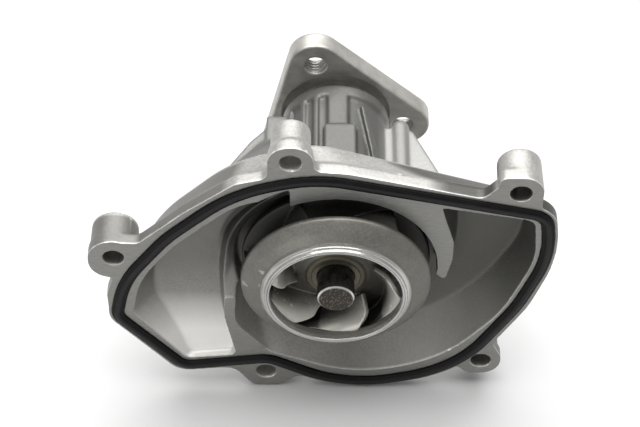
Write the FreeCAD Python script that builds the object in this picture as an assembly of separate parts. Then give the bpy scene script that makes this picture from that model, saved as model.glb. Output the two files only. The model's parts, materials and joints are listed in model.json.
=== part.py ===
import FreeCAD, Part
import math
import os

# Engine coolant pump, millimetres.  The shaft axis is the Y axis and the face that bolts to the
# engine lies in the plane y = 0, looking towards -Y.  The origin is where the two meet.
# The drive flange is at +Y and +Z points up, towards the upper bolt holes.

V = FreeCAD.Vector
AXIS = V(0, 1, 0)

# ---- housing -------------------------------------------------------------------------------------
ear_thickness = 4.5          # bolt ears and rim, from the mounting face back
back_plate_y = 13.4          # outside of the back plate
floor_y = 10.0               # inside of the back plate
bolt_hole_radius = 3.3       # clearance holes for M6 bolts
bolt_hole_chamfer = 0.45
boss_back_y = 13.6           # bolt head seats
boss_draft = 0.25            # how much a boss narrows towards its seat
seat_clearance_radius = 8.2  # kept free behind each seat for the bolt head
well_radius = 32.8           # round pocket that the impeller turns in
bolt_bosses = {              # x, z and radius of each boss behind its ear
    "left": (-71.7, 4.4, 7.9),
    "top": (-14.2, 49.0, 6.5),
    "right": (57.5, 35.4, 7.3),
    "lower_right": (49.5, -48.7, 6.3),
    "lower_left": (-23.6, -54.9, 6.6),
}

# Outlines in the plane of the mounting face: x, z and corner radius, clockwise from the lower left.
ear_outline = [
    (-74.7, -26.4, 4), (-75.2, -14, 10), (-72.6, -5.4, 1), (-80, -3.8, 7.4), (-80, 12.5, 7.9),
    (-63.4, 11.4, 4), (-47.6, 26.6, 50), (-31.5, 39.6, 8), (-21.6, 42.2, 3), (-21.2, 56, 6.9),
    (-7.2, 56, 6.9), (-7.0, 45.3, 3), (3, 44.6, 40), (45.8, 33.2, 3), (50.4, 38.4, 1),
    (50.4, 42.7, 3), (64.8, 42.7, 7.1), (64.6, 28.4, 1.2), (69.2, 24.8, 5), (71.2, 4, 50),
    (63.6, -20, 50), (53.0, -39.4, 4), (56.2, -46.5, 2), (56.2, -55.4, 6.4), (45.6, -55.6, 4),
    (40.6, -51.2, 3), (27, -59.0, 30), (8.6, -63.0, 40), (-12.6, -57.0, 4), (-18.8, -62.4, 4.5),
    (-28.2, -62.4, 5), (-34.5, -52.6, 6), (-53.4, -54.6, 8),
]
seal_line = [                # centre line of the face gasket
    (-72.5, -24.5, 6.5), (-69, -7, 45), (-54, 14.5, 60), (-32, 35.5, 50), (-6.5, 42.5, 40),
    (66.5, 25.0, 6.5), (68.6, 6, 50), (60, -19, 60), (41.5, -52.5, 40), (4, -62.5, 40),
    (-22.5, -47.4, 10), (-51.6, -51.4, 6.5),
]
back_outline = [             # edge of the back plate, one point for each point of the seal line
    (-65.8, -23, 5), (-66.5, -9, 35), (-55, 14, 50), (-33, 36.2, 40), (-7, 44.7, 20),
    (64.5, 20.0, 8), (65.2, 3.5, 40), (55.5, -19, 45), (37.5, -42, 40), (4, -47.5, 40),
    (-22.5, -40, 8), (-46.0, -38, 8),
]
rim_width = 3.1              # from the seal line out to the edge of the casting

# The two water passages: edge at the mounting face, and edge at the floor.
volute_mouth = [
    (-32.6, -10, 1.5), (-33.6, -29, 12), (-22.0, -44.4, 8), (-13.6, -47.8, 12), (6, -56.8, 40),
    (36, -48.4, 45), (55.0, -23.4, 50), (64.4, 4, 35), (62.9, 22.8, 4), (33.0, 29.0, 0.6),
    (37.8, 11.5, 12), (37.6, 4.0, 14), (35.4, -6.7, 1.1), (33.0, -3.4, 0.8),
]
volute_floor = [
    (-31.2, -10, 1.5), (-31.2, -25, 5), (-27.0, -31.5, 5), (-15, -36.6, 40), (6, -39.6, 50),
    (32, -33.2, 50), (49.6, -13.4, 60), (60.6, 8.0, 30), (60.0, 19.8, 3), (38.5, 24.0, 0.8),
    (38.9, 13, 12), (38.6, 3.0, 14), (35.8, -7.6, 1.4), (33.0, -3.8, 1.0),
]
side_mouth = [
    (-10.5, 34.9, 0.6), (-31.5, 29.9, 25), (-52, 10.5, 60), (-64.2, -7, 40), (-67.2, -23.3, 5),
    (-50.8, -47.5, 3.5), (-33.4, -45.8, 2), (-36.9, -26, 25), (-36.4, -8, 30), (-34.5, 12, 35),
    (-26, 27, 25),
]
side_floor = [
    (-15.0, 32.8, 0.6), (-31.8, 28.4, 25), (-51, 9.4, 60), (-60.5, -6, 30), (-58.8, -21, 6),
    (-44.4, -45.0, 3), (-35.0, -44.6, 1.5), (-38.2, -26, 25), (-38.3, -8, 30), (-35.6, 12, 35),
    (-26.8, 26, 25),
]
# Depth of the side passage's floor at its top, its deepest point and its foot, as (z, y).
side_floor_arc = [(38.0, 1.6), (-10.0, 9.4), (-49.5, 1.3)]
low_wall_y = 5.2             # crest of the wall between the side passage and the well
ramp_foot_z = -16.0          # where that wall starts to drop below the mounting face
ramp_top_z = -1.5
low_wall_end_x = -14.5
cut_overlap = 0.001          # so that a cut passes just through the mounting face

# ---- neck ----------------------------------------------------------------------------------------
neck_radius = 18.35
neck_end_y = 65.8
neck_collar_y = 60.4         # front of the plain collar at the neck's end
neck_core_radius = 17.1      # between the ribs
neck_root_radius = 25.0      # where the neck flares into the back plate
neck_flare_y = 24.0
bearing_bore_radius = 15.0
seal_seat_radius = 17.6
seal_seat_y = 15.4
weep_hole_radius = 2.0
weep_hole_y = 31.5
centre_rib_width = 7.0
centre_rib_offset = 0.7
rib_angles = (128, 112, 150, 205, 232, 258, 285, 312, 338)   # thin ribs, about the axis
rib_width = 1.9
pad = (-3.9, 6.7, 28.0, 46.4, 19.6)        # raised pad on top: x from, x to, y from, y to, z
post_radius = 3.2            # round post beside the neck, with a rounded end
post_x = 21.9
post_z = 3.6
post_end_y = 58.5
web_z = (2.0, 5.2)           # thickness of the web on the post's side
left_web_z = (4.0, 7.6)
lug = (-23.4, -15.0, 46.0, 60.4, 1.5, 8.5)          # x, y and z of the lug left of the neck
bridge = (22.0, 30.0, back_plate_y - 1, 34.0, -2.0, 7.2)
lower_web_half = 3.4         # half thickness of the web under the neck

# ---- gasket --------------------------------------------------------------------------------------
gasket_width = 4.2
gasket_groove_depth = 2.2
gasket_stand_proud = 0.8
gasket_bead_width = 1.6
gasket_bead_proud = 1.4

# ---- shaft and bearing ---------------------------------------------------------------------------
shaft_front_y = -13.35
shaft_nose_radius = 6.0
shaft_nose_chamfer = 0.6
shaft_step_y = 33.0
shaft_radius = 8.0
shaft_end_y = 75.9
bearing_front_y = 35.0
bearing_back_y = 65.0
bearing_inner_radius = 11.6
ball_radius = 2.4
ball_pitch_radius = 10.0
balls_per_row = 9
ball_rows = {"front": 42.0, "rear": 58.0}
race_clearance = 0.05
cage_inner_radius = 9.2
cage_outer_radius = 10.8
cage_half_length = 3.2
pocket_clearance = 0.1
bearing_seal_thickness = 1.1
shaft_clearance = 0.08       # running gap of the bearing seals on the shaft

# ---- drive flange --------------------------------------------------------------------------------
flange_front_y = 69.3
flange_back_y = 76.2
flange_lobe_radius = 9.1
flange_bolt_circle = 24.0
flange_lobe_angles = (106.6, -13.4, -133.4)
flange_thread_radius = 3.6   # M8 thread
flange_recess_radius = 18.4
flange_recess_depth = 3.4
flange_hub_radius = 12.0
flange_hub_y = 66.8

# ---- impeller ------------------------------------------------------------------------------------
shroud_rim_radius = 30.6
shroud_rim_y = -6.4
eye_radius = 21.3
eye_y = -12.9
disc_radius = 30.5
disc_front_y = 4.0
disc_back_y = 6.0
hub_radius = 9.6
hub_front_y = -4.0
hub_back_y = 8.0
bush_radius = 7.8
blade_count = 6
blade_thickness = 2.0
blade_first_angle = 24.0     # angle of the first blade's root at the hub, about the axis
blade_sweep = 92.0           # degrees a blade trails back from its root to the rim

# ---- shaft seal ----------------------------------------------------------------------------------
seal_cup_front_y = 14.6
seal_cup_back_y = 28.4
seal_cup_wall = 0.8
mating_ring_y = (10.4, 14.2)
carbon_ring_y = (14.22, 18.0)
spring_y = (19.4, 26.8)
spring_radius = 12.4
spring_wire_radius = 0.65
spring_turns = 4


# ---- helpers -------------------------------------------------------------------------------------
def offset_outline(points, distance):
    """The same outline with every side moved outwards, for points that run clockwise."""
    count = len(points)
    sides = []
    for i in range(count):
        ax, az, _ = points[i]
        bx, bz, _ = points[(i + 1) % count]
        length = math.hypot(bx - ax, bz - az)
        nx, nz = -(bz - az) / length, (bx - ax) / length
        sides.append((nx, nz, nx * ax + nz * az + distance))
    moved = []
    for i in range(count):
        n1x, n1z, d1 = sides[i - 1]
        n2x, n2z, d2 = sides[i]
        cross = n1x * n2z - n1z * n2x
        x = (d1 * n2z - d2 * n1z) / cross
        z = (n1x * d2 - n2x * d1) / cross
        radius = points[i][2] + (distance if cross < 0 else -distance)
        moved.append((x, z, max(radius, 0.3)))
    return moved


def rounded_wire(points, y):
    """Closed wire in the plane y: straight sides joined by tangent arcs."""
    corners = []
    count = len(points)
    for i in range(count):
        corner = V(points[i][0], y, points[i][1])
        before = V(points[i - 1][0], y, points[i - 1][1])
        after = V(points[(i + 1) % count][0], y, points[(i + 1) % count][1])
        to_before = (before - corner).normalize()
        to_after = (after - corner).normalize()
        half = to_before.getAngle(to_after) / 2
        radius = points[i][2]
        reach = radius / math.tan(half)
        inward = (to_before + to_after).normalize()
        middle = corner + inward * (radius / math.sin(half) - radius)
        corners.append((corner + to_before * reach, middle, corner + to_after * reach))
    edges = []
    for i in range(count):
        start, middle, end = corners[i]
        edges.append(Part.Arc(start, middle, end).toShape())
        edges.append(Part.makeLine(end, corners[(i + 1) % count][0]))
    return Part.Wire(edges)


def plate(points, y_from, y_to):
    """Rounded outline extruded along the shaft axis."""
    face = Part.Face(rounded_wire(points, y_from))
    return face.extrude(V(0, y_to - y_from, 0))


def tapered(front_points, y_front, back_points, y_back):
    """Solid between two rounded outlines with the same number of corners."""
    wires = [rounded_wire(front_points, y_front), rounded_wire(back_points, y_back)]
    return Part.makeLoft(wires, True, True)


def turned(profile, angle=360):
    """Solid of revolution about the shaft axis from (radius, y) points."""
    points = [V(r, y, 0) for r, y in profile]
    face = Part.Face(Part.makePolygon(points + [points[0]]))
    return face.revolve(V(0, 0, 0), AXIS, angle)


def rod(radius, y_from, y_to, x=0.0, z=0.0):
    """Cylinder along the shaft axis direction."""
    return Part.makeCylinder(radius, y_to - y_from, V(x, y_from, z), AXIS)


def ring(inner, outer, y_from, y_to):
    """Plain ring about the shaft axis."""
    return turned([(inner, y_from), (outer, y_from), (outer, y_to), (inner, y_to)])


def block(x_from, x_to, y_from, y_to, z_from, z_to):
    """Box between two corners."""
    return Part.makeBox(x_to - x_from, y_to - y_from, z_to - z_from, V(x_from, y_from, z_from))


def about_axis(shape, degrees):
    """Copy of a shape turned from +X towards +Z about the shaft axis."""
    copy = shape.copy()
    copy.rotate(V(0, 0, 0), AXIS, -degrees)
    return copy


def slab(points, x_from, x_to):
    """Prism along X from (y, z) points."""
    corners = [V(x_from, y, z) for y, z in points]
    return Part.Face(Part.makePolygon(corners + [corners[0]])).extrude(V(x_to - x_from, 0, 0))


# ---- housing -------------------------------------------------------------------------------------
def casting_shell():
    """Rim with its ears, the shell behind it and the bolt bosses."""
    rim = offset_outline(seal_line, rim_width)
    shell = plate(ear_outline, 0, ear_thickness)
    for x, z, radius in bolt_bosses.values():
        shell = shell.fuse(Part.makeCone(radius, radius - boss_draft, boss_back_y, V(x, 0, z), AXIS))
    shell = shell.fuse(plate(rim, 0, ear_thickness + 0.5))
    return shell.fuse(tapered(rim, ear_thickness, back_outline, back_plate_y))


def side_passage():
    """Water passage left of the well, with a floor that curves back up to the mounting face."""
    passage = tapered(side_mouth, 0, side_floor, floor_y)
    (top_z, top_y), (deep_z, deep_y), (foot_z, foot_y) = side_floor_arc
    arc = Part.Arc(V(-90, top_y, top_z), V(-90, deep_y, deep_z), V(-90, foot_y, foot_z)).toShape()
    front = [V(-90, foot_y, foot_z), V(-90, -1, foot_z), V(-90, -1, top_z), V(-90, top_y, top_z)]
    outline = Part.Wire([arc] + Part.makePolygon(front).Edges)
    return passage.common(Part.Face(outline).extrude(V(90, 0, 0)))


def low_wall_cut():
    """What is taken off the wall between the side passage and the well, down to its crest."""
    over = turned([(25, -1), (41, -1), (37.6, 2.4), (well_radius, low_wall_y), (25, low_wall_y)])
    slope = low_wall_y / (ramp_top_z - ramp_foot_z)
    span = slab([(-1, ramp_foot_z - 1 / slope), (low_wall_y + 0.1, ramp_top_z), (low_wall_y + 0.1, 45),
                 (-1, 45)], -39.5, low_wall_end_x)
    return over.common(span)


def water_passages():
    """Everything hollow in front of the back plate."""
    hollow = rod(well_radius, -1, floor_y)
    hollow = hollow.fuse(tapered(volute_mouth, -cut_overlap, volute_floor, floor_y))
    hollow = hollow.fuse(side_passage())
    return hollow.fuse(low_wall_cut())


def neck():
    """Ribbed neck that holds the bearing, on a flare that meets the back plate."""
    core = turned([(0, floor_y + 0.5), (neck_root_radius, floor_y + 0.5), (neck_root_radius, back_plate_y),
                   (neck_core_radius + 1.2, neck_flare_y), (neck_core_radius, neck_flare_y + 10),
                   (neck_core_radius, neck_collar_y), (neck_radius, neck_collar_y + 0.8),
                   (neck_radius, neck_end_y - 0.6), (neck_radius - 0.6, neck_end_y), (0, neck_end_y)])
    limit = rod(neck_radius, back_plate_y - 1, neck_collar_y + 1)
    rib = block(0, neck_radius + 1, back_plate_y - 1, neck_collar_y + 1, -rib_width / 2, rib_width / 2)
    for angle in rib_angles:
        core = core.fuse(about_axis(rib, angle).common(limit))
    low = centre_rib_offset - centre_rib_width / 2
    high = centre_rib_offset + centre_rib_width / 2
    centre = block(low, high, back_plate_y - 1, neck_collar_y + 1, 10, neck_radius + 1)
    core = core.fuse(centre.common(limit))
    x_from, x_to, y_from, y_to, z_top = pad
    return core.fuse(block(x_from, x_to, y_from, y_to, 10, z_top))


def upright(points, z_from, z_to):
    """Prism along Z from (x, y) points."""
    corners = [V(x, y, z_from) for x, y in points]
    return Part.Face(Part.makePolygon(corners + [corners[0]])).extrude(V(0, 0, z_to - z_from))


def left_shoulder():
    """Sloping shoulder that carries the plate up to the lug left of the neck."""
    foot = [(-60, 3), (-48, 17), (-23, 37), (-12, 5)]
    top = [(-24, 4), (-23.6, 7.4), (-20, 8), (-15, 5)]
    wires = []
    for corners, y in ((foot, back_plate_y - 1), (top, 50)):
        points = [V(x, y, z) for x, z in corners]
        wires.append(Part.makePolygon(points + [points[0]]))
    return Part.makeLoft(wires, True, True)


def neck_gussets():
    """Round post with its web right of the neck, the lug and shoulder left of it, and the web below."""
    root = back_plate_y - 1
    post = rod(post_radius, root, post_end_y, post_x, post_z)
    post = post.fuse(Part.makeSphere(post_radius, V(post_x, post_end_y, post_z)))
    right_web = upright([(12, root), (45.5, root), (26.2, 56.5), (20, 58), (12, 58)], *web_z)
    left_web = upright([(-12, root), (-51.3, root), (-28.6, 49.4), (-23.6, 55.2), (-12, 55.2)], *left_web_z)
    slanted_rib = upright([(8.2, 57), (9.8, 57), (15.4, 33), (12.4, 33)], 6, 17)
    slanted_rib = slanted_rib.common(rod(neck_radius + 0.9, root, neck_collar_y))
    lower_web = slab([(root, -16), (root, -36), (28, -29.5), (42, -17), (42, -16)],
                     -lower_web_half, lower_web_half)
    return [post, right_web, left_web, left_shoulder(), slanted_rib, block(*lug), block(*bridge), lower_web]


def pump_housing():
    """Die-cast housing: shell, neck, bores, bolt holes, weep hole and gasket groove."""
    body = casting_shell().fuse([neck()] + neck_gussets())
    body = body.cut(water_passages())
    body = body.cut(rod(bearing_bore_radius, floor_y - 1, neck_end_y + 1))
    body = body.cut(rod(seal_seat_radius, floor_y - 1, seal_seat_y))
    groove = plate(offset_outline(seal_line, gasket_width / 2), -1, gasket_groove_depth)
    groove = groove.cut(plate(offset_outline(seal_line, -gasket_width / 2), -1, gasket_groove_depth))
    body = body.cut(groove)
    body = body.cut(Part.makeCylinder(weep_hole_radius, 40, V(0, weep_hole_y, 0), V(0, 0, -1)))
    for x, z, _ in bolt_bosses.values():
        body = body.cut(rod(bolt_hole_radius, -1, boss_back_y + 1, x, z))
        wide = bolt_hole_radius + bolt_hole_chamfer
        body = body.cut(Part.makeCone(wide, bolt_hole_radius, bolt_hole_chamfer, V(x, 0, z), AXIS))
        body = body.cut(rod(seat_clearance_radius, boss_back_y, boss_back_y + 12, x, z))
    return body.removeSplitter()


def face_gasket():
    """Moulded rubber gasket with a raised bead along its middle."""
    half = gasket_width / 2
    base = plate(offset_outline(seal_line, half), -gasket_stand_proud, gasket_groove_depth)
    base = base.cut(plate(offset_outline(seal_line, -half), -gasket_bead_proud, gasket_groove_depth))
    bead_half = gasket_bead_width / 2
    bead = plate(offset_outline(seal_line, bead_half), -gasket_bead_proud, 0)
    bead = bead.cut(plate(offset_outline(seal_line, -bead_half), -gasket_bead_proud, 0))
    return base.fuse(bead).removeSplitter()


# ---- bearing -------------------------------------------------------------------------------------
def race_groove(y):
    """Torus that cuts the ball track of one row."""
    return Part.makeTorus(ball_pitch_radius, ball_radius + race_clearance, V(0, y, 0), AXIS)


def pump_shaft():
    """Stepped shaft, which is also the bearing's inner ring."""
    nose = shaft_nose_radius
    bevel = shaft_nose_chamfer
    shaft = turned([(0, shaft_front_y), (nose - bevel, shaft_front_y), (nose, shaft_front_y + bevel),
                    (nose, shaft_step_y - 2), (shaft_radius, shaft_step_y), (shaft_radius, shaft_end_y - 0.5),
                    (shaft_radius - 0.5, shaft_end_y), (0, shaft_end_y)])
    for y in ball_rows.values():
        shaft = shaft.cut(race_groove(y))
    return shaft


def bearing_outer_ring():
    """Outer ring with both ball tracks and a seat for each seal."""
    outer = ring(bearing_inner_radius, bearing_bore_radius, bearing_front_y, bearing_back_y)
    for y in ball_rows.values():
        outer = outer.cut(race_groove(y))
    return outer


def ball_row(y):
    """One row of balls."""
    ball = Part.makeSphere(ball_radius, V(ball_pitch_radius, y, 0))
    step = 360 / balls_per_row
    return Part.makeCompound([about_axis(ball, i * step) for i in range(balls_per_row)])


def ball_cage(y):
    """Cage with a round pocket for each ball."""
    cage = ring(cage_inner_radius, cage_outer_radius, y - cage_half_length, y + cage_half_length)
    pocket = Part.makeCylinder(ball_radius + pocket_clearance, 4, V(ball_pitch_radius - 2, y, 0), V(1, 0, 0))
    for i in range(balls_per_row):
        cage = cage.cut(about_axis(pocket, i * 360 / balls_per_row))
    return cage


def bearing_seal(y):
    """Lip seal between the outer ring and the shaft."""
    return ring(shaft_radius + shaft_clearance, bearing_inner_radius, y, y + bearing_seal_thickness)


# ---- drive flange --------------------------------------------------------------------------------
def drive_flange():
    """Three-lobed flange with threaded holes, a round recess in front and a pressed hub."""
    lobes = []
    for angle in flange_lobe_angles:
        x = flange_bolt_circle * math.cos(math.radians(angle))
        z = flange_bolt_circle * math.sin(math.radians(angle))
        lobes.append((x, z))
    # Tangent lines between three equal circles: an outline offset from the triangle of centres.
    outline = offset_outline([(x, z, 0) for x, z in lobes], flange_lobe_radius)
    outline = [(x, z, flange_lobe_radius) for x, z, _ in outline]
    flange = plate(outline, flange_front_y, flange_back_y)
    sharp = [edge for edge in flange.Edges if abs(edge.BoundBox.YLength) < 0.01]
    flange = flange.makeChamfer(0.35, sharp)
    recess_end = flange_front_y + flange_recess_depth
    flange = flange.cut(rod(flange_recess_radius, flange_front_y - 1, recess_end))
    flange = flange.fuse(turned([(0, flange_hub_y), (flange_hub_radius - 0.5, flange_hub_y),
                                 (flange_hub_radius, flange_hub_y + 0.5), (flange_hub_radius, recess_end + 0.5),
                                 (0, recess_end + 0.5)]))
    flange = flange.cut(rod(shaft_radius, flange_hub_y - 1, flange_back_y + 1))
    for x, z in lobes:
        hole = flange_thread_radius
        flange = flange.cut(rod(hole, flange_front_y - 1, flange_back_y + 1, x, z))
        flange = flange.cut(Part.makeCone(hole + 0.45, hole, 0.45, V(x, flange_front_y, z), AXIS))
        flange = flange.cut(Part.makeCone(hole, hole + 0.45, 0.45, V(x, flange_back_y - 0.45, z), AXIS))
    return flange.removeSplitter()


# ---- impeller ------------------------------------------------------------------------------------
def impeller_shroud():
    """Front shroud with the turned lip round the eye."""
    lip = eye_radius + 1.6
    return turned([(eye_radius, eye_y), (lip, eye_y), (lip, eye_y + 1.0), (lip + 1.3, eye_y + 1.3),
                   (lip + 1.7, eye_y + 2.2), (27.4, -9.3), (shroud_rim_radius - 0.3, shroud_rim_y),
                   (shroud_rim_radius, shroud_rim_y + 0.4), (shroud_rim_radius, shroud_rim_y + 1.6),
                   (27.0, -7.3), (24.0, -8.3), (eye_radius + 0.5, -8.6), (eye_radius, -9.2)])


def blade(angle):
    """One backward-curved blade, as a thick arc before it is trimmed to the passage."""
    start = math.radians(angle)
    inner = hub_radius - 1.2
    end = math.radians(angle - blade_sweep)
    middle = math.radians(angle - blade_sweep * 0.40)
    mid_radius = (inner + disc_radius) * 0.56
    half = blade_thickness / 2
    points = []
    for side in (-half, half):
        row = []
        for radius, turn in ((inner, start), (mid_radius, middle), (disc_radius - 0.4, end)):
            slant = turn + math.pi / 4
            row.append(V(radius * math.cos(turn) + side * math.cos(slant), -12,
                         radius * math.sin(turn) + side * math.sin(slant)))
        points.append(row)
    low, high = points
    edges = [Part.Arc(*low).toShape(), Part.makeLine(low[2], high[2]),
             Part.Arc(*high).toShape(), Part.makeLine(high[0], low[0])]
    return Part.Face(Part.Wire(edges)).extrude(V(0, disc_front_y + 13, 0))


def impeller_body():
    """Hub and back disc with curved blades that carry the shroud."""
    disc = turned([(bush_radius, hub_front_y), (hub_radius - 0.4, hub_front_y), (hub_radius, hub_front_y + 0.4),
                   (hub_radius + 0.6, -2.8), (hub_radius + 2.4, -1.9), (15.0, -0.7), (20.0, 0.6), (26.0, 2.6),
                   (disc_radius, disc_front_y), (disc_radius, disc_back_y), (14, disc_back_y),
                   (13, hub_back_y), (bush_radius, hub_back_y)])
    passage = turned([(hub_radius - 1, hub_front_y + 1.0), (hub_radius + 2.5, hub_front_y - 0.5),
                      (16.5, -6.6), (eye_radius, -9.2), (eye_radius + 0.5, -8.6), (24.0, -8.3), (27.0, -7.3),
                      (disc_radius, -4.8), (disc_radius, disc_front_y + 0.5), (hub_radius - 1, disc_front_y + 0.5)])
    for i in range(blade_count):
        vane = blade(blade_first_angle + i * 360 / blade_count)
        disc = disc.fuse(vane.common(passage))
    return disc.cut(rod(bush_radius, hub_front_y - 1, hub_back_y + 1)).removeSplitter()


def impeller_hub_bush():
    """Steel bush pressed on the shaft, which carries the impeller."""
    return turned([(shaft_nose_radius + 0.3, hub_front_y), (bush_radius, hub_front_y), (bush_radius, hub_back_y),
                   (shaft_nose_radius, hub_back_y), (shaft_nose_radius, hub_front_y + 0.8),
                   (shaft_nose_radius + 0.3, hub_front_y + 0.6)])


# ---- shaft seal ----------------------------------------------------------------------------------
def seal_cup():
    """Pressed metal cup that holds the fixed half of the shaft seal."""
    wall = seal_cup_wall
    inner = bearing_bore_radius - wall
    return turned([(inner, seal_cup_front_y), (seal_seat_radius - 0.3, seal_cup_front_y),
                   (seal_seat_radius - 0.3, seal_seat_y), (bearing_bore_radius, seal_seat_y),
                   (bearing_bore_radius, seal_cup_back_y), (8.6, seal_cup_back_y),
                   (8.6, seal_cup_back_y - wall), (inner, seal_cup_back_y - wall)])


def seal_bellows():
    """Rubber bellows that closes the gap between the carbon ring and the cup."""
    back = seal_cup_back_y - seal_cup_wall
    return turned([(8.0, 18.0), (10.2, 18.0), (10.2, 20.2), (9.6, 21.4), (11.2, 23.2), (9.6, 25.0),
                   (10.6, back - 0.8), (10.6, back), (8.6, back), (8.2, 24.6), (9.4, 23.2), (8.0, 21.4)])


def seal_spring():
    """Compressed coil spring that loads the carbon ring."""
    low, high = spring_y
    pitch = (high - low - 2 * spring_wire_radius) / spring_turns
    steps = 24
    points = []
    for i in range(steps * spring_turns + 1):
        turn = 2 * math.pi * i / steps
        y = low + spring_wire_radius + pitch * i / steps
        points.append(V(spring_radius * math.cos(turn), y, spring_radius * math.sin(turn)))
    line = Part.BSplineCurve()
    line.interpolate(points)
    quarters = [line.parameter(point) for point in points[::steps // 4]]
    path = Part.Wire([line.toShape(a, b) for a, b in zip(quarters, quarters[1:])])
    start = line.tangent(line.FirstParameter)[0]
    wire_section = Part.Wire(Part.makeCircle(spring_wire_radius, points[0], start))
    return path.makePipeShell([wire_section], True, True)


def seal_collar(y_from, y_to, inner):
    """Sheet-metal ring that one end of the spring presses on."""
    return ring(inner, 13.6, y_from, y_to)


def carbon_ring():
    """Fixed sealing ring with a narrow raised running face."""
    front, back = carbon_ring_y
    return turned([(8.4, front), (10.6, front), (10.6, front + 1.0), (12.4, front + 1.0), (12.4, back), (8.4, back)])


def mating_ring():
    """Turning sealing ring behind the impeller."""
    front, back = mating_ring_y
    return ring(8.2, 13.0, front, back)


def mating_ring_boot():
    """Rubber boot that grips the shaft and seats the turning ring."""
    front, back = mating_ring_y
    return turned([(shaft_nose_radius, hub_back_y + 0.05), (12.6, hub_back_y + 0.05), (12.6, front), (8.2, front),
                   (8.2, back - 0.4), (shaft_nose_radius, back - 0.4)])


def water_slinger():
    """Disc on the shaft that throws leaked drops towards the weep hole."""
    return turned([(shaft_nose_radius, 29.2), (7.6, 29.2), (7.6, 30.0), (11.6, 29.6), (11.6, 30.4),
                   (7.6, 30.9), (shaft_nose_radius, 30.9)])


# ---- export --------------------------------------------------------------------------------------
def build_parts():
    """Every piece of the pump by node name."""
    front = ball_rows["front"]
    rear = ball_rows["rear"]
    low, high = spring_y
    return {
        "pump_housing": pump_housing(),
        "face_gasket": face_gasket(),
        "pump_shaft": pump_shaft(),
        "bearing_outer_ring": bearing_outer_ring(),
        "front_bearing_balls": ball_row(front),
        "rear_bearing_balls": ball_row(rear),
        "front_ball_cage": ball_cage(front),
        "rear_ball_cage": ball_cage(rear),
        "front_bearing_seal": bearing_seal(bearing_front_y + 0.6),
        "rear_bearing_seal": bearing_seal(bearing_back_y - 0.6 - bearing_seal_thickness),
        "drive_flange": drive_flange(),
        "impeller_shroud": impeller_shroud(),
        "impeller_body": impeller_body(),
        "impeller_hub_bush": impeller_hub_bush(),
        "seal_cup": seal_cup(),
        "seal_bellows": seal_bellows(),
        "seal_spring": seal_spring(),
        "seal_front_collar": seal_collar(18.2, low, 10.4),
        "seal_rear_collar": seal_collar(high, seal_cup_back_y - seal_cup_wall, 11.4),
        "seal_carbon_ring": carbon_ring(),
        "seal_mating_ring": mating_ring(),
        "mating_ring_boot": mating_ring_boot(),
        "water_slinger": water_slinger(),
    }


def main():
    os.makedirs("parts", exist_ok=True)
    for name, shape in build_parts().items():
        print(name, len(shape.Solids), shape.isValid(), round(shape.Volume, 1))
        shape.exportStep("parts/" + name + ".step")


main()
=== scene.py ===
import json
import math

import bmesh
import bpy
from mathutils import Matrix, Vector

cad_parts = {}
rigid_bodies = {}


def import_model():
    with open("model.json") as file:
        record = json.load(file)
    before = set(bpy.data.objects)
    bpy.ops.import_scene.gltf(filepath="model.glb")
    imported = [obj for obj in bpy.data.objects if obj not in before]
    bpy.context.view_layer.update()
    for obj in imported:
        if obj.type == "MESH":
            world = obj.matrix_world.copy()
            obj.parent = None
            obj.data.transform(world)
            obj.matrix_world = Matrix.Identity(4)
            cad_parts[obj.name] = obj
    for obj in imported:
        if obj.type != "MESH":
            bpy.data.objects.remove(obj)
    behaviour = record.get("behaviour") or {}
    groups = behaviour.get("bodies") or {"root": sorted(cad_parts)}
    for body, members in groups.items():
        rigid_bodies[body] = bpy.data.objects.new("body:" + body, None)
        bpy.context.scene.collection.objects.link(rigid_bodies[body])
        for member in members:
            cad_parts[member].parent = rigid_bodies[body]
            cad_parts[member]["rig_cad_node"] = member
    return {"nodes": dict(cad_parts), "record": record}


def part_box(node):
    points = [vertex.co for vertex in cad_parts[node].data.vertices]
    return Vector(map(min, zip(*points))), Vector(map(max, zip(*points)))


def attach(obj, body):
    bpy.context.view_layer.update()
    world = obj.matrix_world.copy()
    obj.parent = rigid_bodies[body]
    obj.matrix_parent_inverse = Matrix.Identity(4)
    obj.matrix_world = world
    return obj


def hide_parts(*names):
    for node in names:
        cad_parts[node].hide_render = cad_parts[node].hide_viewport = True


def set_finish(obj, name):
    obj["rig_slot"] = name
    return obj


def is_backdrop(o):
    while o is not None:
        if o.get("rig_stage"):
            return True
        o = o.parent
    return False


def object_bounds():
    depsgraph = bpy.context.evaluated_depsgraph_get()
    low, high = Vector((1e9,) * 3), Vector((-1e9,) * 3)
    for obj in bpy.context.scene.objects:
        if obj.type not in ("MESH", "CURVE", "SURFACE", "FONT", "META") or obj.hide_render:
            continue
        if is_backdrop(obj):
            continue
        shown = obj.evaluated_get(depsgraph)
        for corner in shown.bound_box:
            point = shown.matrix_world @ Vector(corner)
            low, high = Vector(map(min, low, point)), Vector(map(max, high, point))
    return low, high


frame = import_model()
cad_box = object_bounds()
MM = 0.001
nodes = frame["nodes"]

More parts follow.
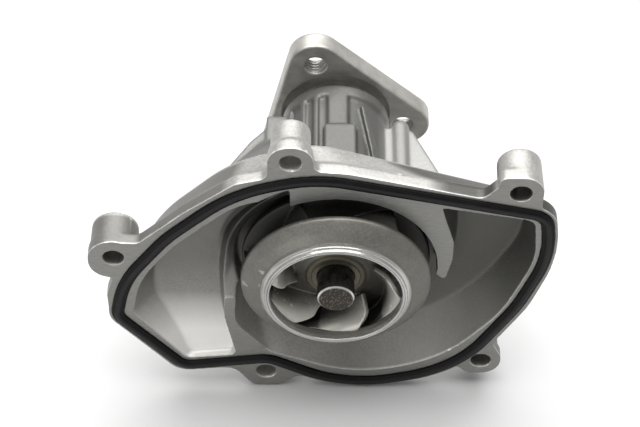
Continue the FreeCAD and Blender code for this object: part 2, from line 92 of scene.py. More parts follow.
# ---- sizes in millimetres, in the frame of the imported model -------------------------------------
HOUSING_VOXEL = 0.36
HOUSING_KEPT_SHARE = 0.3       # share of the fine mesh's triangles kept afterwards
MACHINED_DEPTH = 0.2           # vertices nearer the mounting face than this lie on it
GASKET_VOXEL = 0.3
IMPELLER_VOXEL = 0.3
FLANGE_VOXEL = 0.3
FILLET_START = 2.0             # cast fillets are larger from here back
FILLET_ROUNDS = 8              # rounds of smoothing for those fillets
EDGE_ROUNDS = 6                # and for every edge of the housing
GASKET_ROUNDS = 4
IMPELLER_ROUNDS = 3
FLANGE_ROUNDS = 3
HUB_BORE_KEPT = 8.1            # the hub's bore keeps its radius within this one
FLANGE_BOLT_CIRCLE = 24.0
FLANGE_LOBE_ANGLES = (106.6, -13.4, -133.4)
THREAD_RADIUS = 3.6
THREAD_DEPTH = 0.5
THREAD_PITCH = 1.25
THREAD_STEPS = 40              # segments in one turn
THREAD_FRONT_GAP = 2.9         # from the flange's frontmost point
THREAD_BACK_GAP = 0.3
# out from the thread's outer radius and along the axis
THREAD_SECTION = [(0.05, -0.48), (-THREAD_DEPTH, -0.08), (-THREAD_DEPTH, 0.08), (0.05, 0.48)]
VANE_COUNT = 6
VANE_FIRST_ANGLE = 350.0       # where the first vane's leading edge meets the shroud
VANE_THICKNESS = 1.7
# radius, angle from the vane's own start and y
VANE_LEADING_EDGE = [(12.7, 25, -3.0), (15.8, 19, -5.0), (17.5, 16, -7.3), (19.5, 7, -9.0),
                     (21.6, 0, -9.3)]
VANE_HUB_LINE = [(12.7, 25, -3.0), (15.0, 2, -0.8), (20.0, -23, 0.5), (25.0, -42, 2.0), (29.4, -58, 3.6)]
VANE_SHROUD_LINE = [(21.6, 0, -9.3), (21.8, -18, -9.0), (22.3, -36, -8.7), (25.0, -50, -7.4),
                    (28.6, -64, -5.0)]
# radius, y and rounding of each corner
SHROUD_PROFILE = [(21.3, -12.6, 0.25), (21.55, -12.9, 0.2), (22.0, -12.9, 0.1), (22.1, -12.65, 0.05),
                  (22.25, -12.9, 0.1), (22.75, -12.85, 0.2), (22.95, -12.2, 0.1), (22.95, -11.95, 0.15),
                  (23.5, -11.9, 0.2), (23.75, -11.4, 0.1), (24.2, -11.3, 0.2), (24.7, -10.6, 0.5),
                  (27.4, -9.3, 1.5), (30.1, -6.75, 0.6), (30.6, -6.1, 0.4), (30.6, -4.8, 0.3),
                  (27.0, -7.3, 0.8), (24.0, -8.3, 0.8), (21.9, -8.6, 0.2), (21.3, -9.2, 0.3)]
HUB_PROFILE = [(7.8, -4.0, 0.05), (9.3, -4.0, 0.4), (9.9, -3.2, 0.6), (12.0, -1.9, 1.0),
               (15.0, -0.7, 1), (20.0, 0.6, 2), (26.0, 2.6, 2), (30.5, 4.0, 0.2), (30.5, 6.0, 0.3),
               (14.0, 6.0, 0.5), (13.0, 8.0, 0.4), (7.8, 8.0, 0.05)]

# ---- zones of colour, many of them painted light and painted shade, in millimetres: where each starts and where it is complete ---
# lighter outer casting: painted light
OUTSIDE_PAINTED_LIGHT_Y = (12.6, 20.0)       # from the back plate to the neck
PASSAGE_FRONT_Y = (0.1, 0.6)
PASSAGE_BACK_Y = (12.5, 11.5)
RIM_TOP_Z = (38.0, 36.0)
SHADED_Z = (-44.0, -6.0)
# lighter foot of the side passage: painted light
FOOT_PAINTED_LIGHT_Z = (-22.0, -38.0)        # foot of the side passage
FOOT_PAINTED_LIGHT_X = (-31.0, -34.0)
# nearly black top of the well: painted shade
WELL_SHADE_TOP_Z = (-6.0, 10.0)
WELL_SHADE_RADIUS = (38.6, 37.6)
WELL_SHADE_Y = (0.2, 3.0)
# darker volute: painted shade
VOLUTE_SHADE_X = (-24.0, 4.0)
VOLUTE_SHADE_Z = (-60.0, -14.0)
EYE_RADIUS = (21.0, 21.4)
# near black behind the shroud: painted shade
BEHIND_SHROUD_SHADE_Y = (-6.0, -4.5)
# darker deep in the eye: painted shade
EYE_DEEP_SHADE_Y = (-6.5, -2.5)
# lighter front of the eye: painted light
EYE_FRONT_LIGHT_Y = (-4.5, -7.5)
HUB_RADIUS = (10.2, 9.8)
HUB_Y = (-2.2, -3.0)
LIP_RADIUS = (24.4, 24.1)
LIP_Y = (-11.2, -11.5)
SHAFT_END_Y = (-13.0, -13.3)
SHAFT_END_RADIUS = (5.35, 5.15)
# bright chamfer ring on the shaft: painted highlight
CHAMFER_HIGHLIGHT_Y = (-12.75, -12.9)
CHAMFER_HIGHLIGHT_RADIUS = (5.4, 5.55)
# lighter crest of the gasket: painted highlight
GASKET_CREST_HIGHLIGHT_Y = (-1.1, -1.4)
FACE_TOLERANCE = 0.02          # surfaces this near the mounting plane are machined

# ---- studio, in metres and watts -----------------------------------------------------------------
WORLD_STRENGTH = 0.42
FLOOR_SIZE = 6.0
FLOOR_GAP = 0.2 * MM
CAMERA_AT = (-0.00363, -0.4493, 0.5306)
CAMERA_LOOK = (-0.0022, 0.6652, -0.7467)
CAMERA_LENS = 120.94
CAMERA_SENSOR = 36.0


# ---- mesh helpers --------------------------------------------------------------------------------
def new_object(name, bm):
    """Object from a bmesh."""
    mesh = bpy.data.meshes.new(name)
    bm.normal_update()
    bm.to_mesh(mesh)
    bm.free()
    piece = bpy.data.objects.new(name, mesh)
    bpy.context.scene.collection.objects.link(piece)
    return piece


def copy_of(node, name):
    """Free copy of a CAD node's mesh, to be worked on."""
    piece = bpy.data.objects.new(name, nodes[node].data.copy())
    bpy.context.scene.collection.objects.link(piece)
    return piece


def add_modifier(piece, kind, **values):
    """Modifier with its settings."""
    modifier = piece.modifiers.new(kind.lower(), kind)
    for key, value in values.items():
        setattr(modifier, key, value)


def apply_modifiers(piece):
    """Replace the mesh by what its modifiers make."""
    bpy.context.view_layer.update()
    graph = bpy.context.evaluated_depsgraph_get()
    mesh = bpy.data.meshes.new_from_object(piece.evaluated_get(graph))
    piece.modifiers.clear()
    piece.data = mesh


def weld(piece):
    """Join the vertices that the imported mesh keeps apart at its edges."""
    bm = bmesh.new()
    bm.from_mesh(piece.data)
    bmesh.ops.remove_doubles(bm, verts=bm.verts, dist=2e-6)
    bm.to_mesh(piece.data)
    bm.free()


def remesh(piece, voxel):
    """Even mesh of the whole surface, whose edges can be rounded."""
    add_modifier(piece, "REMESH", mode="VOXEL", voxel_size=voxel * MM, use_smooth_shade=True)
    apply_modifiers(piece)


def soften(piece, rounds, keep=None, on_face=None):
    """Round the edges by averaging each vertex with its neighbours.

    keep(co) tells which vertices stay, on_face(co) which ones may only slide along X and Z.
    """
    bm = bmesh.new()
    bm.from_mesh(piece.data)
    moving = [v for v in bm.verts if keep is None or not keep(v.co)]
    sliding = [v for v in moving if on_face and on_face(v.co)]
    chosen = set(sliding)
    free = [v for v in moving if v not in chosen]
    for _ in range(rounds):
        bmesh.ops.smooth_vert(bm, verts=free, factor=0.5, use_axis_x=True, use_axis_y=True, use_axis_z=True)
        if sliding:
            bmesh.ops.smooth_vert(bm, verts=sliding, factor=0.5, use_axis_x=True, use_axis_z=True)
    bm.to_mesh(piece.data)
    bm.free()


def shade(piece, angle):
    """Smooth shading that keeps edges sharper than the angle."""
    for polygon in piece.data.polygons:
        polygon.use_smooth = True
    piece.data.set_sharp_from_angle(angle=math.radians(angle))


def place(radius, degrees, y):
    """Point at a radius, an angle from +X towards +Z and a y, in metres."""
    turn = math.radians(degrees)
    return Vector((radius * math.cos(turn), y, radius * math.sin(turn))) * MM


def lathe(name, profile, steps):
    """Closed surface of revolution about the shaft axis from (radius, y) points."""
    bm = bmesh.new()
    rings = []
    for radius, y in profile:
        rings.append([bm.verts.new(place(radius, 360 * i / steps, y)) for i in range(steps)])
    for k in range(len(rings)):
        near, far = rings[k], rings[(k + 1) % len(rings)]
        for i in range(steps):
            j = (i + 1) % steps
            bm.faces.new((near[i], near[j], far[j], far[i]))
    bmesh.ops.recalc_face_normals(bm, faces=bm.faces)
    return new_object(name, bm)


def rounded_profile(points, steps=5):
    """Profile whose corners (radius, y, rounding) are turned into short arcs."""
    result = []
    count = len(points)
    for i in range(count):
        corner = Vector(points[i][:2])
        before = (Vector(points[i - 1][:2]) - corner)
        after = (Vector(points[(i + 1) % count][:2]) - corner)
        reach = min(points[i][2], before.length * 0.45, after.length * 0.45)
        start = corner + before.normalized() * reach
        end = corner + after.normalized() * reach
        for k in range(steps + 1):
            t = k / steps
            result.append((start * (1 - t) ** 2 + corner * 2 * t * (1 - t) + end * t * t)[:])
    return result


def join(name, pieces):
    """One mesh from several pieces."""
    bm = bmesh.new()
    for piece in pieces:
        bm.from_mesh(piece.data)
        bpy.data.objects.remove(piece)
    return new_object(name, bm)


# ---- pieces --------------------------------------------------------------------------------------
def make_housing():
    """The casting, with cast fillets everywhere but at its machined faces."""
    piece = copy_of("pump_housing", "housing_casting")
    weld(piece)
    remesh(piece, HOUSING_VOXEL)
    soften(piece, FILLET_ROUNDS, keep=lambda co: co.y < FILLET_START * MM)
    soften(piece, EDGE_ROUNDS, on_face=lambda co: co.y < MACHINED_DEPTH * MM)
    add_modifier(piece, "DECIMATE", ratio=HOUSING_KEPT_SHARE)
    apply_modifiers(piece)
    for vertex in piece.data.vertices:
        if vertex.co.y < MACHINED_DEPTH * MM:
            vertex.co.y = 0.0
    shade(piece, 60)
    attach(piece, "housing")
    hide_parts("pump_housing")
    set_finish(piece, "cast_housing")


def make_gasket():
    """Moulded gasket with a soft bead."""
    piece = copy_of("face_gasket", "moulded_gasket")
    weld(piece)
    remesh(piece, GASKET_VOXEL)
    soften(piece, GASKET_ROUNDS)
    shade(piece, 60)
    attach(piece, "housing")
    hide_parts("face_gasket")
    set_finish(piece, "gasket_rubber")


def make_shroud():
    """Front shroud with the turned grooves of its lip."""
    piece = lathe("turned_shroud", rounded_profile(SHROUD_PROFILE), 256)
    shade(piece, 40)
    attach(piece, "rotor")
    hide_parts("impeller_shroud")
    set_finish(piece, "impeller_metal")


def curve_point(points, t):
    """Point on a smooth line through (radius, angle, y) points, t from 0 to 1."""
    span = len(points) - 1
    at = min(int(t * span), span - 1)
    u = t * span - at
    rows = [Vector(points[min(max(at + k, 0), span)]) for k in (-1, 0, 1, 2)]
    a, b, c, d = rows
    return (2 * b + (c - a) * u + (2 * a - 5 * b + 4 * c - d) * u * u
            + (3 * b - 3 * c + d - a) * u ** 3) / 2


def vane(angle):
    """Twisted vane: a sheet between its hub line and its shroud line, given a thickness."""
    along, across = 28, 12
    bm = bmesh.new()
    grid = []
    edge_start, edge_end = Vector(VANE_LEADING_EDGE[0]), Vector(VANE_LEADING_EDGE[-1])
    for i in range(along + 1):
        v = i / along
        low, high = curve_point(VANE_HUB_LINE, v), curve_point(VANE_SHROUD_LINE, v)
        row = []
        for k in range(across + 1):
            u = k / across
            bulge = curve_point(VANE_LEADING_EDGE, u) - (edge_start * (1 - u) + edge_end * u)
            radius, turn, y = low * (1 - u) + high * u + bulge * (1 - v) ** 2
            row.append(bm.verts.new(place(radius, turn + angle, y)))
        grid.append(row)
    for i in range(along):
        for k in range(across):
            bm.faces.new((grid[i][k], grid[i + 1][k], grid[i + 1][k + 1], grid[i][k + 1]))
    piece = new_object("vane", bm)
    add_modifier(piece, "SOLIDIFY", thickness=VANE_THICKNESS * MM, offset=0.0)
    apply_modifiers(piece)
    return piece


def make_impeller():
    """Hub, disc and scoop-like vanes as one rough casting."""
    parts = [lathe("hub", rounded_profile(HUB_PROFILE, 4), 180)]
    for i in range(VANE_COUNT):
        parts.append(vane(VANE_FIRST_ANGLE - i * 360 / VANE_COUNT))
    piece = join("impeller_casting", parts)
    remesh(piece, IMPELLER_VOXEL)
    soften(piece, IMPELLER_ROUNDS, keep=lambda co: math.hypot(co.x, co.z) < HUB_BORE_KEPT * MM)
    shade(piece, 60)
    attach(piece, "rotor")
    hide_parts("impeller_body")
    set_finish(piece, "impeller_metal")


def make_flange():
    """Drive flange with softened edges."""
    piece = copy_of("drive_flange", "lobed_flange")
    weld(piece)
    remesh(piece, FLANGE_VOXEL)
    soften(piece, FLANGE_ROUNDS)
    shade(piece, 60)
    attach(piece, "rotor")
    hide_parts("drive_flange")
    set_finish(piece, "flange_steel")


def make_thread(name, x, z, y_from, y_to):
    """Ridge of a screw thread inside one flange hole."""
    bm = bmesh.new()
    turns = (y_to - y_from - THREAD_PITCH) / THREAD_PITCH
    steps = int(turns * THREAD_STEPS)
    run_out = THREAD_STEPS / 2
    rows = []
    for i in range(steps + 1):
        turn = 2 * math.pi * i / THREAD_STEPS
        middle = y_from + THREAD_PITCH / 2 + i * THREAD_PITCH / THREAD_STEPS
        fade = min(1, i / run_out, (steps - i) / run_out)
        row = []
        for out, up in THREAD_SECTION:
            radius = THREAD_RADIUS + (out if out > 0 else out * fade)
            row.append(bm.verts.new(Vector((x + radius * math.cos(turn), middle + up,
                                            z + radius * math.sin(turn))) * MM))
        rows.append(row)
    for i in range(steps):
        for k in range(4):
            n = (k + 1) % 4
            bm.faces.new((rows[i][k], rows[i][n], rows[i + 1][n], rows[i + 1][k]))
    bm.faces.new(rows[0])
    bm.faces.new(rows[-1])
    bmesh.ops.recalc_face_normals(bm, faces=bm.faces)
    piece = new_object(name, bm)
    shade(piece, 30)
    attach(piece, "rotor")
    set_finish(piece, "flange_steel")


# ---- material helpers ----------------------------------------------------------------------------
class Paint:
    """Node material under construction."""

    def __init__(self, name):
        self.material = bpy.data.materials.new(name)
        self.material.use_nodes = True
        self.tree = self.material.node_tree
        self.tree.nodes.clear()
        output = self.tree.nodes.new("ShaderNodeOutputMaterial")
        self.shader = self.tree.nodes.new("ShaderNodeBsdfPrincipled")
        self.link(self.shader.outputs[0], output.inputs[0])
        self.coords = self.tree.nodes.new("ShaderNodeTexCoord")
        self.place = self.coords.outputs["Object"]
        self.axes = self.tree.nodes.new("ShaderNodeSeparateXYZ")
        self.link(self.place, self.axes.inputs[0])

    def link(self, source, target):
        self.tree.links.new(source, target)

    def feed(self, socket, value):
        """Link a node's output, or set a number or colour."""
        if isinstance(value, bpy.types.NodeSocket):
            self.link(value, socket)
        elif isinstance(value, tuple):
            socket.default_value = (*value, 1.0)
        else:
            socket.default_value = value

    def set(self, **values):
        for key, value in values.items():
            self.feed(self.shader.inputs[key.replace("_", " ")], value)

    def noise(self, scale, detail=3.0, roughness=0.55, stretch=None):
        node = self.tree.nodes.new("ShaderNodeTexNoise")
        node.inputs["Scale"].default_value = scale
        node.inputs["Detail"].default_value = detail
        node.inputs["Roughness"].default_value = roughness
        source = self.place
        if stretch:
            mapping = self.tree.nodes.new("ShaderNodeMapping")
            mapping.inputs["Scale"].default_value = stretch
            self.link(self.place, mapping.inputs[0])
            source = mapping.outputs[0]
        self.link(source, node.inputs["Vector"])
        return node.outputs["Fac"]

    def cells(self, scale):
        node = self.tree.nodes.new("ShaderNodeTexVoronoi")
        node.inputs["Scale"].default_value = scale
        self.link(self.place, node.inputs["Vector"])
        return node.outputs["Distance"]

    def math(self, kind, a, b=0.0):
        node = self.tree.nodes.new("ShaderNodeMath")
        node.operation = kind
        self.feed(node.inputs[0], a)
        self.feed(node.inputs[1], b)
        return node.outputs[0]

    def times(self, a, b):
        return self.math("MULTIPLY", a, b)

    def tint(self, base, zone, share, colour):
        """Base colour, moved towards another one by a share of the zone."""
        return self.mix(self.times(zone, share), base, colour)

    def spread(self, value, low, high, to_low=0.0, to_high=1.0):
        """Value from low to high mapped to another range, with its ends held."""
        node = self.tree.nodes.new("ShaderNodeMapRange")
        for socket, number in zip(node.inputs, (value, low, high, to_low, to_high)):
            self.feed(socket, number)
        return node.outputs[0]

    def mix(self, share, a, b):
        node = self.tree.nodes.new("ShaderNodeMix")
        node.data_type = "RGBA"
        self.feed(node.inputs[0], share)
        self.feed(node.inputs[6], a)
        self.feed(node.inputs[7], b)
        return node.outputs[2]

    def bump(self, height, distance, strength=1.0, below=None):
        node = self.tree.nodes.new("ShaderNodeBump")
        node.inputs["Strength"].default_value = strength
        node.inputs["Distance"].default_value = distance * MM
        self.link(height, node.inputs["Height"])
        if below is not None:
            self.link(below, node.inputs["Normal"])
        return node.outputs[0]

    def radius(self):
        """Distance from the shaft axis, in millimetres."""
        square = self.math("ADD", self.math("MULTIPLY", self.axes.outputs["X"], self.axes.outputs["X"]),
                           self.math("MULTIPLY", self.axes.outputs["Z"], self.axes.outputs["Z"]))
        return self.math("MULTIPLY", self.math("SQRT", square), 1000.0)

    def depth(self):
        """y in millimetres."""
        return self.math("MULTIPLY", self.axes.outputs["Y"], 1000.0)

    def height(self):
        """z in millimetres."""
        return self.math("MULTIPLY", self.axes.outputs["Z"], 1000.0)

    def across(self):
        """x in millimetres."""
        return self.math("MULTIPLY", self.axes.outputs["X"], 1000.0)

    def pointiness(self):
        return self.tree.nodes.new("ShaderNodeNewGeometry").outputs["Pointiness"]


# ---- materials -----------------------------------------------------------------------------------
def cast_surface(paint, grain):
    """Colour of the casting as it comes out of blasting, with a lighter outside that is painted light,
    painted shade in its creases and lighter edges that are painted highlights with some wear.
    """
    blotch = paint.noise(70, 4)
    edge = paint.pointiness()
    cast = paint.mix(paint.spread(blotch, 0.3, 0.7), (0.26, 0.255, 0.240), (0.35, 0.344, 0.326))
    cast = paint.mix(paint.spread(grain, 0.35, 0.65, 0.0, 0.5), cast, (0.50, 0.492, 0.468))
    # lighter from the back plate to the neck: painted light on the outer casting
    outer_painted_light = paint.spread(paint.depth(), *OUTSIDE_PAINTED_LIGHT_Y, 0.0, 0.75)
    cast = paint.mix(outer_painted_light, cast, (0.72, 0.715, 0.69))
    # darker where the surface is hollow (low pointiness): painted shade in creases and corners
    cast = paint.mix(paint.spread(edge, 0.50, 0.43, 0.0, 0.6), cast, (0.10, 0.097, 0.092))
    # lighter where the surface is convex (high pointiness): painted highlights on edges, with some edge
    # wear
    return paint.mix(paint.spread(edge, 0.515, 0.58, 0.0, 0.8), cast, (0.78, 0.775, 0.76))


def passage_painted_light_and_shade(paint, cast):
    """Darker passages, volute and well top as painted shade, and a lighter foot of the side passage as
    painted light.
    """
    inner = paint.times(paint.spread(paint.depth(), *PASSAGE_FRONT_Y),
                        paint.spread(paint.depth(), *PASSAGE_BACK_Y))
    within_rim = paint.times(inner, paint.spread(paint.height(), *RIM_TOP_Z))
    # passages darker towards the top, under the rim: painted shade
    shaded = paint.spread(paint.height(), *SHADED_Z, 0.0, 0.72)
    cast = paint.mix(paint.times(within_rim, shaded), cast, (0.10, 0.098, 0.09))
    # lighter foot of the side passage: painted light where it faces up
    foot = paint.times(paint.spread(paint.height(), *FOOT_PAINTED_LIGHT_Z), paint.spread(paint.across(), *FOOT_PAINTED_LIGHT_X))
    cast = paint.tint(cast, paint.times(foot, inner), 0.8, (0.80, 0.79, 0.76))
    # top of the well nearly black: painted shade under the rim; with no back limit the mask also darkens
    # the back plate and neck within that radius
    top = paint.times(paint.spread(paint.height(), *WELL_SHADE_TOP_Z), paint.spread(paint.radius(), *WELL_SHADE_RADIUS))
    well = paint.times(top, paint.spread(paint.depth(), *WELL_SHADE_Y, 0.0, 0.85))
    cast = paint.mix(well, cast, (0.03, 0.03, 0.026))
    # volute darker towards the right: painted shade
    volute_painted_shade = paint.times(paint.spread(paint.across(), *VOLUTE_SHADE_X),
                         paint.spread(paint.height(), *VOLUTE_SHADE_Z, 0.75, 1.0))
    return paint.mix(paint.times(within_rim, paint.times(volute_painted_shade, 0.8)), cast, (0.06, 0.059, 0.052))


def cast_aluminium():
    """Shot-blasted die casting with a machined mounting face."""
    paint = Paint("cast_aluminium")
    grain = paint.noise(1150, 3, 0.75)
    pits = paint.cells(900)
    cast = passage_painted_light_and_shade(paint, cast_surface(paint, grain))
    marks = paint.noise(260, 4, 0.6, (1.0, 1.0, 12.0))
    # machined face darker than the casting: painted shade and dark reflection; the streaks are its
    # machining marks
    machined = paint.mix(paint.spread(marks, 0.3, 0.7), (0.18, 0.179, 0.168), (0.26, 0.258, 0.242))
    flat = paint.math("LESS_THAN", paint.math("ABSOLUTE", paint.depth()), FACE_TOLERANCE)
    paint.set(Base_Color=paint.mix(flat, cast, machined), Metallic=0.65,
              Roughness=paint.mix(flat, paint.spread(grain, 0.3, 0.7, 0.40, 0.56),
                                  paint.spread(marks, 0.3, 0.7, 0.30, 0.40)))
    lumps = paint.bump(paint.noise(420, 3), 0.05, 0.6)
    fine = paint.bump(grain, 0.11, 1.0, lumps)
    paint.set(Normal=paint.bump(pits, 0.03, 0.5, fine))
    return paint.material


def gasket_rubber():
    """Black moulded rubber with a slight sheen, a painted highlight along its crest and some dust."""
    paint = Paint("gasket_rubber")
    dust = paint.noise(300, 4, 0.7)
    crest_highlight = paint.spread(paint.depth(), *GASKET_CREST_HIGHLIGHT_Y)
    colour = paint.mix(paint.spread(dust, 0.5, 0.8, 0.0, 0.4), (0.002, 0.002, 0.0018),
                       (0.014, 0.014, 0.013))
    # lighter crest of the bead: painted highlight
    paint.set(Base_Color=paint.tint(colour, crest_highlight, 0.4, (0.035, 0.035, 0.035)),
              Roughness=paint.spread(dust, 0.3, 0.7, 0.42, 0.6), Specular_IOR_Level=0.14,
              Normal=paint.bump(paint.noise(1500, 3), 0.02, 0.5))
    return paint.material


def shaft_steel():
    """Ground, oiled shaft with a pitted dark end and a bright chamfer that is a painted highlight."""
    paint = Paint("shaft_steel")
    film = paint.noise(400, 4, 0.65)
    spots = paint.cells(1300)
    colour = paint.mix(paint.spread(film, 0.35, 0.65), (0.045, 0.042, 0.038), (0.12, 0.112, 0.10))
    front = paint.spread(paint.depth(), *SHAFT_END_Y)
    rust = paint.mix(paint.spread(spots, 0.15, 0.4), (0.17, 0.14, 0.10), (0.035, 0.032, 0.028))
    end = paint.times(front, paint.spread(paint.radius(), *SHAFT_END_RADIUS))
    colour = paint.mix(end, colour, rust)
    # bright ring on the chamfer: painted highlight
    chamfer = paint.times(paint.spread(paint.depth(), *CHAMFER_HIGHLIGHT_Y),
                          paint.spread(paint.radius(), *CHAMFER_HIGHLIGHT_RADIUS))
    paint.set(Base_Color=paint.mix(chamfer, colour, (0.62, 0.61, 0.59)), Metallic=0.85,
              Roughness=paint.spread(film, 0.3, 0.7, 0.24, 0.40))
    turned = paint.noise(900, 2, 0.5, (1.0, 6.0, 1.0))
    rings = paint.bump(turned, 0.01, 0.35)
    paint.set(Normal=paint.bump(paint.times(spots, end), 0.12, 0.8, rings))
    return paint.material


def impeller_metal():
    """Fine rough casting, bright where it is turned; its edges are lighter as painted highlights with some
    wear, with painted shade behind the shroud and deep in the eye and painted light at the front of the
    eye.
    """
    paint = Paint("impeller_metal")
    grain = paint.noise(1300, 4, 0.75)
    blotch = paint.noise(160, 4)
    radius = paint.radius()
    colour = paint.mix(paint.spread(blotch, 0.3, 0.7), (0.19, 0.184, 0.168), (0.28, 0.273, 0.25))
    colour = paint.mix(paint.spread(grain, 0.4, 0.7, 0.0, 0.6), colour, (0.44, 0.43, 0.40))
    # lighter where convex (high pointiness): painted highlights on the vane and shroud edges, with some
    # wear
    colour = paint.mix(paint.spread(paint.pointiness(), 0.52, 0.60, 0.0, 0.9), colour, (0.74, 0.73, 0.71))
    outside_eye = paint.spread(radius, *EYE_RADIUS)
    inside_eye = paint.spread(radius, *reversed(EYE_RADIUS))
    colour = paint.tint(colour, outside_eye, 0.6, (0.075, 0.07, 0.056))
    # near black behind the shroud: painted shade
    behind_shroud_shade = paint.times(outside_eye, paint.spread(paint.depth(), *BEHIND_SHROUD_SHADE_Y))
    colour = paint.tint(colour, behind_shroud_shade, 0.92, (0.018, 0.018, 0.015))
    # darker deep in the eye: painted shade
    deep_eye_shade = paint.times(inside_eye, paint.spread(paint.depth(), *EYE_DEEP_SHADE_Y))
    colour = paint.tint(colour, deep_eye_shade, 0.8, (0.045, 0.042, 0.034))
    # lighter at the front of the eye: painted light on the vanes' faces
    front = paint.times(inside_eye, paint.spread(paint.depth(), *EYE_FRONT_LIGHT_Y))
    colour = paint.tint(colour, front, 0.6, (0.62, 0.60, 0.545))
    hub = paint.times(paint.spread(radius, *HUB_RADIUS), paint.spread(paint.depth(), *HUB_Y))
    colour = paint.mix(hub, colour, (0.085, 0.078, 0.054))
    lip = paint.times(paint.spread(paint.depth(), *LIP_Y), paint.spread(radius, *LIP_RADIUS))
    turning = paint.noise(60, 2, 0.5)
    bright = paint.mix(paint.spread(turning, 0.3, 0.7), (0.36, 0.355, 0.34), (0.50, 0.495, 0.48))
    paint.set(Base_Color=paint.mix(lip, colour, bright), Metallic=0.7,
              Roughness=paint.mix(lip, paint.spread(grain, 0.3, 0.7, 0.40, 0.55),
                                  paint.spread(turning, 0.3, 0.7, 0.18, 0.26)))
    rough = paint.times(grain, paint.spread(lip, 0.0, 1.0, 1.0, 0.12))
    paint.set(Normal=paint.bump(rough, 0.08, 0.9))
    return paint.material


def simple_metal(name, dark, light, scale, rough_low, rough_high, bump_depth, metallic=0.85):
    """Metal with a grain that varies its colour, gloss and surface."""
    paint = Paint(name)
    grain = paint.noise(scale, 4, 0.65)
    cloud = paint.noise(scale / 9, 3)
    colour = paint.mix(paint.spread(cloud, 0.3, 0.7), dark, light)
    colour = paint.mix(paint.spread(grain, 0.4, 0.75, 0.0, 0.35), colour, light)
    paint.set(Base_Color=colour, Metallic=metallic,
              Roughness=paint.spread(grain, 0.3, 0.7, rough_low, rough_high),
              Normal=paint.bump(grain, bump_depth, 0.6))
    return paint.material


def simple_plain(name, dark, light, scale, rough_low, rough_high, bump_depth):
    """Rubber, plastic, carbon or ceramic with a fine mottle."""
    return simple_metal(name, dark, light, scale, rough_low, rough_high, bump_depth, 0.0)


def make_materials():
    """One material for each slot of the record."""
    return {
        "cast_housing": cast_aluminium(),
        "gasket_rubber": gasket_rubber(),
        "shaft_steel": shaft_steel(),
        "impeller_metal": impeller_metal(),
        "bearing_steel": simple_metal("bearing_steel", (0.5, 0.5, 0.51), (0.66, 0.66, 0.67), 2500,
                                      0.08, 0.18, 0.002, 1.0),
        "cage_plastic": simple_plain("cage_plastic", (0.52, 0.44, 0.28), (0.66, 0.58, 0.41), 900,
                                     0.4, 0.55, 0.01),
        "seal_rubber": simple_plain("seal_rubber", (0.012, 0.012, 0.012), (0.04, 0.04, 0.04), 1200,
                                    0.45, 0.65, 0.02),
        "flange_steel": simple_metal("flange_steel", (0.30, 0.29, 0.265), (0.46, 0.45, 0.42), 1500,
                                     0.34, 0.52, 0.05, 0.65),
        "bush_steel": simple_metal("bush_steel", (0.075, 0.069, 0.05), (0.13, 0.12, 0.088), 1400,
                                   0.34, 0.5, 0.03, 0.7),
        "seal_sheet": simple_metal("seal_sheet", (0.46, 0.44, 0.38), (0.62, 0.60, 0.54), 1100,
                                   0.2, 0.34, 0.01),
        "spring_steel": simple_metal("spring_steel", (0.42, 0.42, 0.42), (0.6, 0.6, 0.6), 1600,
                                     0.2, 0.32, 0.008, 1.0),
        "carbon": simple_plain("carbon", (0.02, 0.02, 0.022), (0.06, 0.06, 0.062), 1500,
                               0.3, 0.45, 0.008),
        "ceramic": simple_plain("ceramic", (0.66, 0.63, 0.55), (0.8, 0.78, 0.71), 800,
                                0.2, 0.32, 0.006),
    }


# ---- light, floor and camera ---------------------------------------------------------------------
def area_light(name, place_at, aim, size, watts):
    """Square soft light aimed at a point."""
    lamp = bpy.data.lights.new(name, "AREA")
    lamp.shape = "SQUARE"
    lamp.size = size
    lamp.energy = watts
    light = bpy.data.objects.new(name, lamp)
    light.location = place_at
    light.rotation_euler = (Vector(aim) - Vector(place_at)).to_track_quat("-Z", "Y").to_euler()
    bpy.context.scene.collection.objects.link(light)


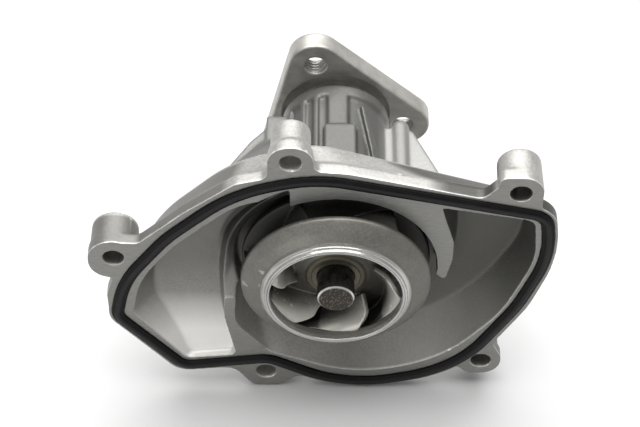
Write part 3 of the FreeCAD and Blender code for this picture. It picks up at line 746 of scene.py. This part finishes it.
def make_floor():
    """Plain pale floor that the pump stands on."""
    paint = Paint("pale_floor")
    paint.set(Base_Color=paint.mix(paint.noise(30, 3), (0.50, 0.50, 0.50), (0.53, 0.53, 0.53)),
              Roughness=0.8)
    bm = bmesh.new()
    bmesh.ops.create_grid(bm, x_segments=4, y_segments=4, size=FLOOR_SIZE)
    floor = new_object("floor", bm)
    floor.location.z = cad_box[0][2] - FLOOR_GAP
    floor.data.materials.append(paint.material)
    floor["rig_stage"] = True


def make_studio():
    """White surroundings, an overhead soft box and the camera."""
    scene = bpy.context.scene
    scene.view_settings.view_transform = "Standard"
    world = bpy.data.worlds.new("studio")
    scene.world = world
    world.use_nodes = True
    background = world.node_tree.nodes["Background"]
    background.inputs[0].default_value = (1.0, 1.0, 1.0, 1.0)
    background.inputs[1].default_value = WORLD_STRENGTH
    area_light("overhead", (0.0, 0.28, 1.2), (0, 0.03, 0), 1.7, 47.0)
    area_light("front_fill", (-0.6, -1.25, 0.15), (0, 0, 0), 0.5, 4.0)
    camera_data = bpy.data.cameras.new("camera")
    camera_data.lens = CAMERA_LENS
    camera_data.sensor_width = CAMERA_SENSOR
    camera = bpy.data.objects.new("camera", camera_data)
    camera.location = CAMERA_AT
    camera.rotation_euler = Vector(CAMERA_LOOK).to_track_quat("-Z", "Y").to_euler()
    scene.collection.objects.link(camera)
    scene.camera = camera


# ---- build ---------------------------------------------------------------------------------------
def main():
    make_housing()
    make_gasket()
    make_shroud()
    make_impeller()
    make_flange()
    low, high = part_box("drive_flange")
    for i, angle in enumerate(FLANGE_LOBE_ANGLES):
        spot = place(FLANGE_BOLT_CIRCLE, angle, 0) / MM
        make_thread(f"thread_{i + 1}", spot.x, spot.z, low.y / MM + THREAD_FRONT_GAP,
                    high.y / MM - THREAD_BACK_GAP)
    materials = make_materials()
    slots = {row["node"]: row["material_slot"] for row in frame["record"]["subparts"]}
    for piece in list(bpy.data.objects):
        if piece.type != "MESH" or piece.get("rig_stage"):
            continue
        slot = piece.get("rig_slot") or slots[piece["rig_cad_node"]]
        piece.data.materials.clear()
        piece.data.materials.append(materials[slot])
    make_floor()
    make_studio()


main()
bpy.context.view_layer.update()
